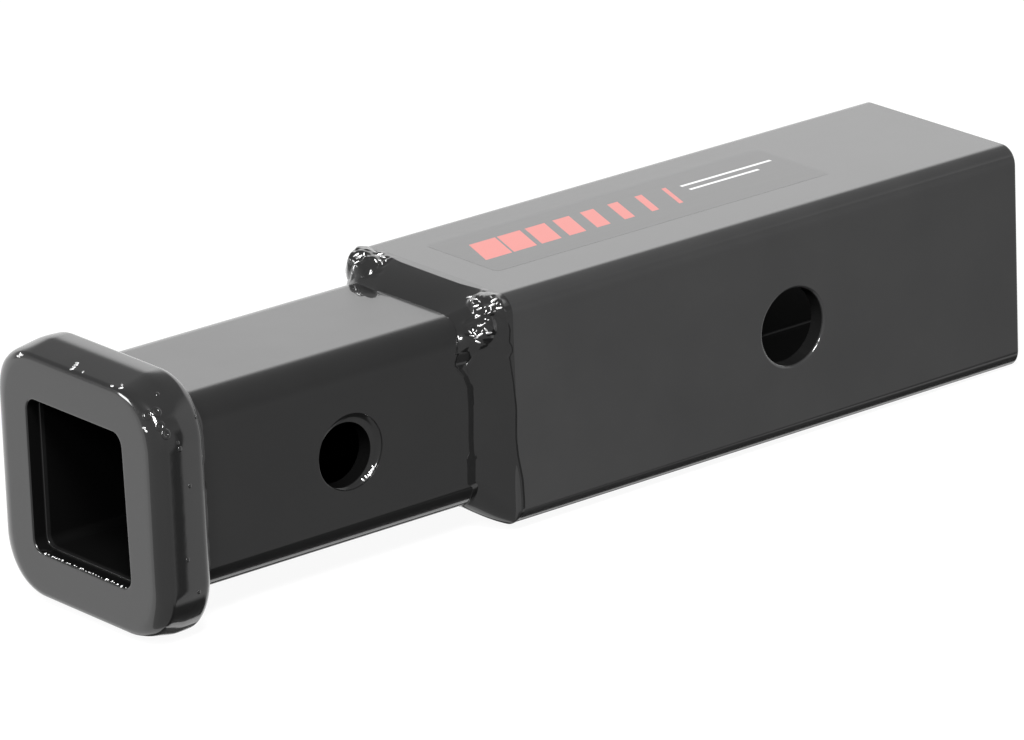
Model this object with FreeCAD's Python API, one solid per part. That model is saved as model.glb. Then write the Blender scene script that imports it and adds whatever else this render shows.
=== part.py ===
"""Hitch receiver extender: a square shank welded over a smaller receiver tube with a collar at its mouth.

The origin is the centre of the shank's pin hole. +X runs from the mouth to the shank's open end,
the pin holes run along Y, and +Z is up. All lengths are in millimetres.
"""
import FreeCAD, Part
import math
import os

from FreeCAD import Vector

# Shank: the square tube that slides into a larger receiver
shank_size = 50.8
shank_wall = 4.1
shank_corner = 4.0
shank_length = 142.3
shank_end_to_pin = 65.0
shank_pin_bore = 17.2

# Receiver tube: telescopes into the shank and takes a smaller accessory
slide_gap = 0.2
receiver_wall = 4.8
receiver_corner = 7.0
receiver_reach = 93.5
receiver_overlap = 38.0
mouth_to_pin = 52.9
receiver_pin_bore = 14.0

# Punched dish round the near pin hole of the receiver tube, a little off the hole's centre
dish_width = 1.3
dish_depth = 1.0
dish_shift_x = 1.1
dish_shift_z = 0.6

# Collar: a ring of round-edged bar, bent square, with a lip over the tube's end
collar_band = 7.1
collar_depth = 13.7
collar_corner = 12.9
collar_front_round = 4.8
collar_rear_round = 5.6
collar_lip = 3.1
collar_opening_lead = 0.4
collar_opening_corner = 1.6
collar_seat_gap = 0.1

# Butt weld that closes the bent ring, across the middle of its top bar
seam_width = 2.0
seam_shift_y = 2.0
seam_sink = 0.35

# Fillet bead behind the collar
collar_weld_leg = 3.6
collar_weld_rise = 1.4
collar_weld_toe = 0.4

# Fillet bead from the shank's end face down to the receiver tube
joint_weld_leg = 7.2
joint_weld_toe = 0.5
joint_weld_crown = 0.5
joint_weld_edge = 0.15

# Lump where the weld passes meet at the far top corner: a round swelling, proud of the shank's top
far_lump_radius = 8.6
far_lump_inset_y = 9.8
far_lump_inset_z = 6.7

# Broader lump at the near top corner, which starts further along the receiver tube
near_lump_radius = 10.2
near_lump_inset = 9.9
near_lump_reach = 3.4

# Outlines that the bead is ruled between
joint_weld_steps = 8

# Label on the top of the shank
label_length = 92.5
label_width = 24.0
label_thickness = 0.12
label_corner = 1.5
label_shift_y = 1.7
label_from_front = 9.2

# Edge finish
end_round = 0.6
pin_edge_bevel = 0.5
smallest_inside_corner = 0.8

# How far a cutting body runs past the face that it cuts, and how closely two places must agree
overrun = 1.0
match = 1e-4

# Places and sizes that follow from the ones above
shank_end_x = shank_end_to_pin
shank_front_x = shank_end_x - shank_length
mouth_x = shank_front_x - receiver_reach
receiver_front_x = mouth_x + collar_lip
receiver_end_x = shank_front_x + receiver_overlap
receiver_pin_x = mouth_x + mouth_to_pin
collar_rear_x = mouth_x + collar_depth
shank_bore = shank_size - 2 * shank_wall
receiver_size = shank_bore - 2 * slide_gap
receiver_socket = receiver_size - 2 * receiver_wall
collar_size = receiver_size + 2 * collar_band
collar_opening = receiver_socket + 2 * collar_opening_lead
collar_seat = receiver_size + 2 * collar_seat_gap
overall_length = shank_end_x - mouth_x


def rounded_square(side, radius, x):
    """A closed outline in the plane X = x, centred on the tube's axis."""
    flat = side / 2 - radius
    arcs = []
    for quarter in range(4):
        centre_y = flat * (1 if quarter in (0, 3) else -1)
        centre_z = flat * (1 if quarter in (0, 1) else -1)
        points = []
        for step in range(3):
            turn = math.pi / 2 * quarter + math.pi / 4 * step
            points.append(Vector(x, centre_y + radius * math.cos(turn), centre_z + radius * math.sin(turn)))
        arcs.append(points)
    edges = []
    for quarter in range(4):
        points = arcs[quarter]
        next_start = arcs[(quarter + 1) % 4][0]
        edges.append(Part.Arc(*points).toShape())
        edges.append(Part.LineSegment(points[2], next_start).toShape())
    return Part.Wire(edges)


def square_bar(side, radius, x_from, x_to):
    """A solid bar with rounded corners along X."""
    return Part.Face(rounded_square(side, radius, x_from)).extrude(Vector(x_to - x_from, 0, 0))


def inside_corner(outside_corner, wall):
    """A folded wall's inside radius follows its outside radius."""
    return max(outside_corner - wall, smallest_inside_corner)


def edges_in_plane(shape, x):
    """The edges that lie wholly in the plane X = x."""
    found = []
    for edge in shape.Edges:
        box = edge.BoundBox
        if abs(box.XMin - x) < match and abs(box.XMax - x) < match:
            found.append(edge)
    return found


def cross_hole(radius, x, outside):
    """A cylinder along Y that runs out past both sides of a tube."""
    return Part.makeCylinder(radius, 2 * outside, Vector(x, -outside, 0), Vector(0, 1, 0))


def bevel_hole_edges(tube, radius, x, size, bevel):
    """Takes the sharp rim off a cross hole where it meets both outer sides of a tube."""
    rims = []
    for edge in tube.Edges:
        if not hasattr(edge.Curve, "Radius"):
            continue
        box = edge.BoundBox
        on_side = abs(abs(box.Center.y) - size / 2) < match and box.YLength < match
        on_hole = abs(edge.Curve.Radius - radius) < match and abs(box.Center.x - x) < match
        if on_side and on_hole:
            rims.append(edge)
    return tube.makeChamfer(bevel, rims)


def make_shank():
    """The shank tube, open at both ends, with one pin hole through both sides."""
    bar = square_bar(shank_size, shank_corner, shank_front_x, shank_end_x)
    bar = bar.makeFillet(min(end_round, shank_wall / 4), edges_in_plane(bar, shank_end_x))
    corner = inside_corner(shank_corner, shank_wall)
    bore = square_bar(shank_bore, corner, shank_front_x - overrun, shank_end_x + overrun)
    tube = bar.cut(bore)
    tube = tube.cut(cross_hole(shank_pin_bore / 2, 0, shank_size))
    return bevel_hole_edges(tube, shank_pin_bore / 2, 0, shank_size, pin_edge_bevel)


def make_receiver():
    """The receiver tube with its pin hole, from the collar's lip to its end inside the shank."""
    bar = square_bar(receiver_size, receiver_corner, receiver_front_x, receiver_end_x)
    corner = inside_corner(receiver_corner, receiver_wall)
    bore = square_bar(receiver_socket, corner, receiver_front_x - overrun, receiver_end_x + overrun)
    tube = bar.cut(bore)
    hole_radius = receiver_pin_bore / 2
    tube = tube.cut(cross_hole(hole_radius, receiver_pin_x, receiver_size))
    near_side = Vector(receiver_pin_x + dish_shift_x, -receiver_size / 2, dish_shift_z)
    dish = Part.makeCone(hole_radius + dish_width, hole_radius, dish_depth, near_side, Vector(0, 1, 0))
    return tube.cut(dish)


def make_collar_bar(sink):
    """The collar's outer form, round-edged front and rear, taken in by the given depth all over."""
    front = mouth_x + sink
    rear = collar_rear_x - sink
    bar = square_bar(collar_size - 2 * sink, collar_corner - sink, front, rear)
    bar = bar.makeFillet(collar_front_round, edges_in_plane(bar, front))
    return bar.makeFillet(collar_rear_round, edges_in_plane(bar, rear))


def make_collar_blank():
    """The collar ring before its seam is opened."""
    seat_corner = receiver_corner + collar_seat_gap
    seat = square_bar(collar_seat, seat_corner, receiver_front_x, collar_rear_x + overrun)
    opening = square_bar(collar_opening, collar_opening_corner, mouth_x - overrun, receiver_front_x + overrun)
    return make_collar_bar(0).cut(seat).cut(opening)


def make_seam_slot(sink):
    """The slot between the two ends of the bent ring, less a skin of the given depth."""
    corner = Vector(mouth_x + sink, seam_shift_y - seam_width / 2, 0)
    return Part.makeBox(collar_depth - 2 * sink, seam_width, collar_size / 2 - sink, corner)


def make_collar(blank):
    """The collar with its two ends apart by the width of the seam."""
    return blank.cut(make_seam_slot(0))


def make_seam_weld(blank):
    """Weld metal that closes the ring, a little lower than the bar round it."""
    return blank.common(make_seam_slot(seam_sink)).common(make_collar_bar(seam_sink))


def make_collar_weld():
    """The fillet bead behind the collar, all round the receiver tube."""
    toe_x = collar_rear_x + collar_weld_leg
    sections = []
    for x, rise in ((collar_rear_x, collar_weld_rise), (toe_x, collar_weld_toe)):
        sections.append(rounded_square(receiver_size + 2 * rise, receiver_corner + rise, x))
    bead = Part.makeLoft(sections, True, True)
    tube = square_bar(receiver_size, receiver_corner, collar_rear_x - overrun, toe_x + overrun)
    return bead.cut(tube)


def swollen_corner(half, radius, lump, share):
    """A corner arc's centre and radius, a share of the way from the plain corner to the lump's."""
    plain = (half - radius, half - radius, radius)
    return [a + (b - a) * share for a, b in zip(plain, lump)]


def lumpy_square(x, half, corners):
    """A closed outline in the plane X = x: four sides, and an arc of its own at each corner."""
    arcs = []
    for (side_y, side_z), (centre_y, centre_z, radius) in corners.items():
        drop = math.sqrt(max(radius ** 2 - (half - centre_y) ** 2, 0))
        inset = math.sqrt(max(radius ** 2 - (half - centre_z) ** 2, 0))
        crest = radius * math.sqrt(0.5)
        points = [
            Vector(x, side_y * half, side_z * (centre_z - drop)),
            Vector(x, side_y * (centre_y + crest), side_z * (centre_z + crest)),
            Vector(x, side_y * (centre_y - inset), side_z * half),
        ]
        if side_y * side_z < 0:
            points.reverse()
        arcs.append(points)
    edges = []
    for corner, points in enumerate(arcs):
        next_start = arcs[(corner + 1) % len(arcs)][0]
        edges.append(Part.Arc(*points).toShape())
        edges.append(Part.LineSegment(points[2], next_start).toShape())
    return Part.Wire(edges)


def joint_weld_outline(share):
    """The bead's outline a share of the way from its toe, at 0, to the shank's front end, at 1."""
    toe_half = receiver_size / 2 + joint_weld_toe
    edge_half = shank_size / 2 - joint_weld_edge
    crown = 4 * joint_weld_crown * share * (1 - share)
    half = toe_half + (edge_half - toe_half) * share + crown
    toe_radius = receiver_corner + joint_weld_toe
    radius = toe_radius + (shank_corner - toe_radius) * max(share, 0)
    near_centre = shank_size / 2 - near_lump_inset
    near_lump = (near_centre, near_centre, near_lump_radius)
    far_lump = (shank_size / 2 - far_lump_inset_y, shank_size / 2 - far_lump_inset_z, far_lump_radius)
    start_share = -near_lump_reach / joint_weld_leg
    near_share = math.sin(math.pi * (share - start_share) / (1 - start_share))
    far_share = math.sin(math.pi * max(share, 0))
    plain = (half - radius, half - radius, radius)
    corners = {
        (1, 1): swollen_corner(half, radius, far_lump, far_share),
        (-1, 1): swollen_corner(half, radius, near_lump, near_share),
        (-1, -1): plain,
        (1, -1): plain,
    }
    return lumpy_square(shank_front_x - joint_weld_leg * (1 - share), half, corners)


def make_joint_weld():
    """The fillet bead from the shank's front end down to the receiver tube, with lumps at its top corners."""
    start_share = -near_lump_reach / joint_weld_leg
    outlines = []
    for step in range(joint_weld_steps):
        share = start_share + (1 - start_share) * step / (joint_weld_steps - 1)
        outlines.append(joint_weld_outline(share))
    bead = Part.makeLoft(outlines, True, True)
    start_x = shank_front_x - joint_weld_leg - near_lump_reach
    tube = square_bar(receiver_size, receiver_corner, start_x - overrun, shank_front_x + overrun)
    return bead.cut(tube)


def make_label():
    """A thin film label on the top of the shank."""
    left = shank_front_x + label_from_front
    low_y = label_shift_y - label_width / 2
    film = Part.makeBox(label_length, label_width, label_thickness, Vector(left, low_y, shank_size / 2))
    upright = [edge for edge in film.Edges if abs(edge.BoundBox.ZLength - label_thickness) < match]
    return film.makeFillet(label_corner, upright)


def single_solid(shape, name):
    """Each node is one solid, and a wrong count is an error."""
    solids = shape.Solids
    if len(solids) != 1 or not solids[0].isValid():
        raise ValueError(name + " is " + str(len(solids)) + " solids")
    return solids[0]


def main():
    collar_blank = make_collar_blank()
    nodes = {
        "shank_tube": make_shank(),
        "receiver_tube": make_receiver(),
        "collar": make_collar(collar_blank),
        "collar_seam_weld": make_seam_weld(collar_blank),
        "collar_weld": make_collar_weld(),
        "joint_weld": make_joint_weld(),
        "label": make_label(),
    }
    os.makedirs("parts", exist_ok=True)
    for name, shape in nodes.items():
        solid = single_solid(shape, name)
        solid.exportStep("parts/" + name + ".step")
        print(name, "volume", round(solid.Volume, 1), "faces", len(solid.Faces))
    print("overall length", round(overall_length, 2), "receiver outside", round(receiver_size, 2),
          "socket", round(receiver_socket, 2), "collar", round(collar_size, 2))


main()
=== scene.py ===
# %% [markdown]
# A hitch receiver extender is two square steel tubes, one pushed into the other and welded there.
# A bent ring of round-edged bar, the collar, strengthens the mouth of the smaller tube. The whole
# part is coated in gloss black. This lesson dresses the measured model of it, one piece at a time:
# first the camera and the light, then the coat, then each piece of steel, the welds and the label.
# On gloss black hardly any light scatters, so the shapes are read from what they mirror. That is
# why every piece here is a smooth, dense mesh, and why the light comes before the shapes.

# %% Frame
import math

import bmesh
import bpy
import numpy as np
from mathutils import Matrix, Vector


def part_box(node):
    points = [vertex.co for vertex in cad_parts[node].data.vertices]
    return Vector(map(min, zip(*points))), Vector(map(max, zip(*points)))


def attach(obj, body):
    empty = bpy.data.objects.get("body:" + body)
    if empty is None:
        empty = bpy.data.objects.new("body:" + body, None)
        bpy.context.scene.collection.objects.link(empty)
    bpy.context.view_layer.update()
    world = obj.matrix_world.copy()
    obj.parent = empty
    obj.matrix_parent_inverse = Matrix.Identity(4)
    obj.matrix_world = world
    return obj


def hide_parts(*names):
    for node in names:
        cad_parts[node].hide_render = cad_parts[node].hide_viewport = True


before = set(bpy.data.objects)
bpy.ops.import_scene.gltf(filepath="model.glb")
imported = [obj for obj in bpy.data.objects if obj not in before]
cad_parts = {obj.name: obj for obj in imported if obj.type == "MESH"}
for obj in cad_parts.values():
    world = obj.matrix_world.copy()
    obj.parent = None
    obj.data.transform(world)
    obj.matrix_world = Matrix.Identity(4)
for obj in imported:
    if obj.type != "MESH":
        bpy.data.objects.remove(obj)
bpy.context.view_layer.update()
MM = 0.001
print("nodes:", sorted(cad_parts))

# %% [markdown]
# Every place below is worked out from the measured pieces, so that a new skin always sits where
# its steel is. A box gives a piece's lowest and highest corner, in metres.

# %% Places taken from the measured model
shank_low, shank_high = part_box("shank_tube")
receiver_low, receiver_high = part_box("receiver_tube")
collar_low, collar_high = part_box("collar")
label_low, label_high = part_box("label")
SHANK_HALF = shank_high.y
RECEIVER_HALF = receiver_high.y
COLLAR_HALF = collar_high.y
MOUTH_X = collar_low.x
COLLAR_REAR_X = collar_high.x
FRONT_X = shank_low.x
END_X = shank_high.x
print("length in mm:", round((END_X - MOUTH_X) / MM, 1))

# %% [markdown]
# The camera stands where the photograph was taken: far off, with a long lens, so that the tubes'
# edges stay nearly parallel. Its place and its three axes were solved from the outline of the part.
# A camera looks along its own minus Z, so the third axis points back from the part to the camera.

# %% Camera
CAMERA_PLACE = Vector((-1056.34, -1256.84, 560.47)) * MM
CAMERA_RIGHT = Vector((0.77425586, -0.63183727, -0.0361874))
CAMERA_UP = Vector((0.23552896, 0.23460215, 0.94312668))
CAMERA_BACK = Vector((-0.58741294, -0.73874455, 0.33045806))
SENSOR_WIDTH = 36.0
LENS = 282.57


def new_object(name, data):
    """An object for some data, linked to the scene."""
    thing = bpy.data.objects.new(name, data)
    bpy.context.scene.collection.objects.link(thing)
    return thing


def make_camera():
    """The photograph's camera."""
    data = bpy.data.cameras.new("camera")
    data.sensor_fit = "HORIZONTAL"
    data.sensor_width = SENSOR_WIDTH
    data.lens = LENS
    data.clip_end = 100.0
    camera = new_object("camera", data)
    turn = Matrix((CAMERA_RIGHT, CAMERA_UP, CAMERA_BACK)).transposed()
    camera.matrix_world = Matrix.Translation(CAMERA_PLACE) @ turn.to_4x4()
    bpy.context.scene.camera = camera


make_camera()
print("camera distance in m:", round(CAMERA_PLACE.length, 2))

# %% [markdown]
# Small marks, such as beads in the coat, are known by where they stand in the picture. A ray from
# the camera through that place meets the steel, so the mark is set down on the surface itself.

# %% From a place in the picture to the steel
PICTURE = (1024, 740)


def picked(piece, across, down):
    """The point and the outward direction where a picture place meets a piece, or None."""
    scale = SENSOR_WIDTH / LENS / PICTURE[0]
    ray = CAMERA_RIGHT * (across - PICTURE[0] / 2) * scale
    ray = ray - CAMERA_UP * (down - PICTURE[1] / 2) * scale
    hit, place, out, _ = piece.ray_cast(CAMERA_PLACE, (ray - CAMERA_BACK).normalized())
    return (place, out) if hit else None


print("picture size:", PICTURE)

# %% [markdown]
# Gloss black shows the studio, not itself, so the surroundings are designed first. The back of the
# studio is a bright paper sweep, and the ceiling and the side of the camera are dimmer. The top
# faces mirror the bright low back, the front faces its left end, and the long sides the dim front.
# One world does this with a few soft steps over the direction of view. A narrow upright window low
# at the left draws the bright hook on the collar's corner, and a narrow dark gap to the right of the
# camera draws the thin dark lines along the weld. Rays straight from the camera see plain white.
# A node tree is long to write out, so a few helpers come first: each adds one node or one sum.

# %% Nodes by short calls
def add_node(tree, kind, values=None, **settings):
    """A node with its settings, and its inputs set or linked by number or name."""
    node = tree.nodes.new(kind)
    for key, value in settings.items():
        setattr(node, key, value)
    for key, value in (values or {}).items():
        if isinstance(value, bpy.types.NodeSocket):
            tree.links.new(value, node.inputs[key])
        else:
            node.inputs[key].default_value = value
    return node


def math_node(tree, operation, first, second=0.0):
    """The result of one sum on two numbers or sockets."""
    return add_node(tree, "ShaderNodeMath", {0: first, 1: second}, operation=operation).outputs[0]


def times(tree, first, second):
    """The product of two numbers or sockets."""
    return math_node(tree, "MULTIPLY", first, second)


def opposite(tree, share):
    """1 where a share is 0, and 0 where it is 1."""
    return math_node(tree, "SUBTRACT", 1.0, share)


def axes(tree, vector):
    """The three numbers of a vector, as sockets."""
    return add_node(tree, "ShaderNodeSeparateXYZ", {0: vector}).outputs


def soft_step(tree, value, low, high):
    """0 below low, 1 above high and a smooth rise between them."""
    node = add_node(tree, "ShaderNodeMapRange", {"Value": value, "From Min": low, "From Max": high},
                    interpolation_type="SMOOTHSTEP", clamp=True)
    return node.outputs["Result"]


def blend(tree, share, first, second):
    """The first number where share is 0 and the second where it is 1."""
    return add_node(tree, "ShaderNodeMix", {0: share, 2: first, 3: second}, data_type="FLOAT").outputs[0]


def tint(tree, share, first, second):
    """The first colour where share is 0 and the second where it is 1."""
    return add_node(tree, "ShaderNodeMix", {0: share, 6: first, 7: second}, data_type="RGBA").outputs[2]


def grey(level):
    """A neutral colour."""
    return (level, level, level, 1)


print("node helpers: add_node, math_node, times, opposite, axes, soft_step, blend, tint, grey")

# %% World
# A band is its middle and half width in degrees of azimuth, and for a sharp one its softness.
# A step is the two heights of the view's direction, as sines, between which something fades.
BACK_LEVEL = 1.37
BACK_RISE = 1.05
BACK_BAND = (35, 78.5)
RIGHT_LEVEL = 0.95
RIGHT_STEP = (0.1, 0.35)
FRONT_LEVEL = 0.56
CEILING_LEVEL = 0.37
CEILING_LEAN = 0.6
CEILING_STEP = (0.03, 0.30)
DIM_STEP = (0.0, 0.5)
LOW_LEVEL = 1.32
LOW_BAND = (72, 74)
LOW_STEP = (-0.16, -0.11)
GAP_LEVEL = 0.03
GAP_BAND = (-45.4, 1.5, 0.8)
GAP_STEP = (0.05, 0.2)
UNDER_LEVEL = 0.08
UNDER_STEP = (-0.64, -0.54)
UNDER_SIDE_STEP = (0.0, 0.35)
STRIP_BAND = (20, 11)
WINDOW_LEVEL = 20.0
WINDOW_BAND = (140.5, 5.2, 1.0)
WINDOW_LOW_STEP = (-0.05, -0.01)
WINDOW_HIGH_STEP = (0.17, 0.22)


def toward(tree, flat, azimuth, half_width, softness=0.02):
    """1 for directions within half_width degrees of an azimuth."""
    turn = math.radians(azimuth)
    along = math_node(tree, "ADD", times(tree, flat[0], math.cos(turn)),
                      times(tree, flat[1], math.sin(turn)))
    edge = math.cos(math.radians(half_width))
    return soft_step(tree, along, edge - softness, edge + softness)


def upright_band(tree, flat, middle, half_width, softness=1.5):
    """1 for directions in a narrow upright band, all in degrees."""
    turn = math.radians(middle)
    across = math_node(tree, "SUBTRACT", times(tree, flat[1], math.cos(turn)),
                       times(tree, flat[0], math.sin(turn)))
    low, soft = math.radians(half_width), math.radians(softness)
    inside = math_node(tree, "SUBTRACT", soft_step(tree, across, -low - soft, -low + soft),
                       soft_step(tree, across, low - soft, low + soft))
    return times(tree, inside, toward(tree, flat, middle, 80))


def make_world():
    """Bright back and low left, dim front and ceiling, a dark gap and one bright window."""
    world = bpy.data.worlds.new("studio")
    bpy.context.scene.world = world
    world.use_nodes = True
    tree = world.node_tree
    tree.nodes.clear()
    x, y, z = axes(tree, add_node(tree, "ShaderNodeTexCoord").outputs["Generated"])
    level = add_node(tree, "ShaderNodeCombineXYZ", {0: x, 1: y}).outputs[0]
    level = add_node(tree, "ShaderNodeVectorMath", {0: level}, operation="NORMALIZE").outputs[0]
    flat = axes(tree, level)

    dim = blend(tree, soft_step(tree, z, *DIM_STEP), FRONT_LEVEL, CEILING_LEVEL)
    back = math_node(tree, "ADD", BACK_LEVEL, times(tree, z, BACK_RISE))
    right = soft_step(tree, times(tree, flat[1], -1.0), *RIGHT_STEP)
    back = blend(tree, right, back, RIGHT_LEVEL)
    height = math_node(tree, "SUBTRACT", z, times(tree, x, CEILING_LEAN))
    below_ceiling = opposite(tree, soft_step(tree, height, *CEILING_STEP))
    in_back = times(tree, toward(tree, flat, *BACK_BAND), below_ceiling)
    strength = blend(tree, in_back, dim, back)

    below = opposite(tree, soft_step(tree, z, *LOW_STEP))
    in_low = times(tree, toward(tree, flat, *LOW_BAND), below)
    strength = blend(tree, in_low, strength, LOW_LEVEL)

    not_high = opposite(tree, soft_step(tree, z, *GAP_STEP))
    gap = times(tree, upright_band(tree, flat, *GAP_BAND), not_high)
    strength = blend(tree, gap, strength, GAP_LEVEL)

    under = opposite(tree, soft_step(tree, z, *UNDER_STEP))
    under = times(tree, under, soft_step(tree, flat[0], *UNDER_SIDE_STEP))
    strip = upright_band(tree, flat, *STRIP_BAND)
    strength = blend(tree, under, strength, blend(tree, strip, UNDER_LEVEL, LOW_LEVEL))

    window_height = math_node(tree, "SUBTRACT", soft_step(tree, z, *WINDOW_LOW_STEP),
                              soft_step(tree, z, *WINDOW_HIGH_STEP))
    window = times(tree, window_height, upright_band(tree, flat, *WINDOW_BAND))
    strength = blend(tree, window, strength, WINDOW_LEVEL)

    seen = add_node(tree, "ShaderNodeLightPath").outputs["Is Camera Ray"]
    background = add_node(tree, "ShaderNodeBackground", {"Strength": blend(tree, seen, strength, 1.0)})
    add_node(tree, "ShaderNodeOutputWorld", {"Surface": background.outputs[0]})


make_world()
print("world: back", BACK_LEVEL, "front", FRONT_LEVEL)

# %% [markdown]
# Two soft lamps stand above and to the left of the camera. They hardly change black paint, but
# their mirror images are small white glints on the lumps of weld, and they light the bright metal
# specks that are painted highlights.

# %% Lamps
LAMP_PLACES = {
    "key_lamp": ((-0.58, -0.60, 0.96), 0.38, 25.0),
    "side_lamp": ((-0.95, -0.60, 0.70), 0.22, 7.0),
}


def make_lamp(name, place, size, power):
    """A square lamp aimed at the middle of the part."""
    data = bpy.data.lights.new(name, "AREA")
    data.shape = "SQUARE"
    data.size = size
    data.energy = power
    middle = Vector(((MOUTH_X + END_X) / 2, 0, 0))
    aim = (middle - Vector(place)).to_track_quat("-Z", "Y").to_matrix().to_4x4()
    new_object(name, data).matrix_world = Matrix.Translation(Vector(place)) @ aim


for lamp_name, (lamp_place, lamp_size, lamp_power) in LAMP_PLACES.items():
    make_lamp(lamp_name, lamp_place, lamp_size, lamp_power)
    print("lamp:", lamp_name)

# %% [markdown]
# The extender lies on a plain pale floor. It touches the floor at the collar's lowest edge and at
# the far lower edge of the shank, so the floor is tilted by that small angle rather than the part.
# Part of the floor's white is its own, for camera rays only, and the rest is lit, which keeps the
# soft shadow. Mirrored rays pass through it to the world, so the coat shows the same pale studio.

# %% Floor
FLOOR_REACH = 6.0
FLOOR_LIT = 0.125
FLOOR_OWN = 0.93
TOUCH_BEFORE_REAR = 5.6 * MM


def new_mesh(name, points, faces=()):
    """A mesh of points and faces."""
    mesh = bpy.data.meshes.new(name)
    mesh.from_pydata(points, [], faces)
    return mesh


def new_material(name):
    """A material with an empty node tree. Returns both."""
    material = bpy.data.materials.new(name)
    material.use_nodes = True
    material.node_tree.nodes.clear()
    return material, material.node_tree


def floor_paper():
    """Pale paper: some of its white is its own, for camera rays only, and the rest is lit."""
    material, tree = new_material("floor_paper")
    lit = add_node(tree, "ShaderNodeBsdfDiffuse", {"Color": grey(FLOOR_LIT)})
    seen = add_node(tree, "ShaderNodeLightPath").outputs["Is Camera Ray"]
    own = add_node(tree, "ShaderNodeEmission", {"Strength": times(tree, seen, FLOOR_OWN)})
    both = add_node(tree, "ShaderNodeAddShader", {0: lit.outputs[0], 1: own.outputs[0]})
    add_node(tree, "ShaderNodeOutputMaterial", {"Surface": both.outputs[0]})
    return material


def make_floor():
    """A large pale plane that touches the collar and the shank's end."""
    touch_front = Vector((COLLAR_REAR_X - TOUCH_BEFORE_REAR, 0, collar_low.z))
    touch_end = Vector((END_X, 0, shank_low.z))
    slope = (touch_end.z - touch_front.z) / (touch_end.x - touch_front.x)
    corners = []
    for x, y in ((-1, -1), (1, -1), (1, 1), (-1, 1)):
        height = touch_front.z + slope * (x * FLOOR_REACH - touch_front.x)
        corners.append((x * FLOOR_REACH, y * FLOOR_REACH, height))
    floor = new_object("floor", new_mesh("floor", corners, [(0, 1, 2, 3)]))
    floor.data.materials.append(floor_paper())
    floor.visible_glossy = False


make_floor()
print("floor under the collar at z in mm:", round(collar_low.z / MM, 1))

# %% [markdown]
# Powder coat is melted plastic powder: a deep black body under a mirror-smooth skin. A Principled
# shader does both, with the skin as its coat layer. Real powder coat is never quite flat. It has
# orange peel, a shallow ripple a few millimetres across, and where it was sprayed thickly the
# ripple is stronger. So one function makes the coat, and the peel is one of its sizes. The powder
# hardly reaches the inside of a tube, so a mask by place lets the gloss fall off there, and the same
# mask darkens the colour inside as painted shade.

# %% Coat
CLOUD_SCALE = 55.0
PEEL_SCALE = 330.0
GRAIN_SCALE = 1500.0
HAZE_ROUGHNESS = (0.26, 0.36)
# Just under a tube's outer face: half side, corner, start and end, and the gloss left further in.
SHANK_INSIDE = (SHANK_HALF - 0.7 * MM, 4.0 * MM, FRONT_X + 1 * MM, END_X - 1 * MM, 0.5)
RECEIVER_INSIDE = (RECEIVER_HALF - 1.2 * MM, 7.0 * MM, receiver_low.x + 1 * MM,
                   receiver_high.x - 1 * MM, 0.1)
COLLAR_INSIDE = (16.75 * MM, 2.1 * MM, MOUTH_X + 0.3 * MM, COLLAR_REAR_X, 0.1)


def bump_layer(tree, coordinates, scale, depth, below=None, detail=2.0):
    """One layer of fine relief: noise of a given size turned into a bent normal."""
    noise = add_node(tree, "ShaderNodeTexNoise", {"Vector": coordinates, "Scale": scale,
                                                  "Detail": detail, "Roughness": 0.45})
    values = {"Height": noise.outputs[0], "Strength": 1.0, "Distance": depth}
    if below is not None:
        values["Normal"] = below
    return add_node(tree, "ShaderNodeBump", values).outputs["Normal"]


def inside_mask(tree, place, inside):
    """1 on a tube's inside and in its pin holes, and 0 on its outside and its ends."""
    limit, corner, start, end, gloss = inside
    flat = limit - corner
    x, y, z = axes(tree, place)
    over = []
    for part in (y, z):
        past = math_node(tree, "SUBTRACT", math_node(tree, "ABSOLUTE", part), flat)
        over.append(math_node(tree, "MAXIMUM", past, 0.0))
    squares = [times(tree, part, part) for part in over]
    bow = math_node(tree, "SQRT", math_node(tree, "ADD", *squares))
    within_walls = math_node(tree, "LESS_THAN", math_node(tree, "ADD", bow, flat), limit)
    past_start = math_node(tree, "GREATER_THAN", x, start)
    before_end = math_node(tree, "LESS_THAN", x, end)
    return times(tree, within_walls, times(tree, past_start, before_end))


def black_coat(name, peel_depth, grain_depth, body=0.009, skin_index=1.55, inside=None):
    """Gloss black powder coat with orange peel of the given depth, in metres, with less gloss inside a tube and its
    colour darkened there as painted shade.
    """
    material, tree = new_material(name)
    place = add_node(tree, "ShaderNodeTexCoord").outputs["Object"]
    clouds = add_node(tree, "ShaderNodeTexNoise", {"Vector": place, "Scale": CLOUD_SCALE, "Detail": 3.0})
    color = tint(tree, clouds.outputs[0], (body * 0.8, body * 0.8, body * 0.82, 1), grey(body * 1.2))
    gloss = 1.0
    if inside:
        dull_and_shaded = inside_mask(tree, place, inside)
        # Painted shade: inside a tube the body colour is darkened to a third.
        color = tint(tree, dull_and_shaded, color, grey(body * 0.3))
        gloss = blend(tree, dull_and_shaded, 1.0, inside[-1])
    haze = add_node(tree, "ShaderNodeMapRange", {
        "Value": clouds.outputs[0], "To Min": HAZE_ROUGHNESS[0], "To Max": HAZE_ROUGHNESS[1]})
    peel = bump_layer(tree, place, PEEL_SCALE, peel_depth)
    skin = bump_layer(tree, place, GRAIN_SCALE, grain_depth, below=peel, detail=1.0)
    shader = add_node(tree, "ShaderNodeBsdfPrincipled", {
        "Base Color": color,
        "Roughness": haze.outputs[0],
        "Specular IOR Level": 0.12,
        "Normal": peel,
        "Coat Weight": gloss,
        "Coat Roughness": 0.035,
        "Coat IOR": skin_index,
        "Coat Normal": skin,
    })
    add_node(tree, "ShaderNodeOutputMaterial", {"Surface": shader.outputs[0]})
    return material


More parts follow.
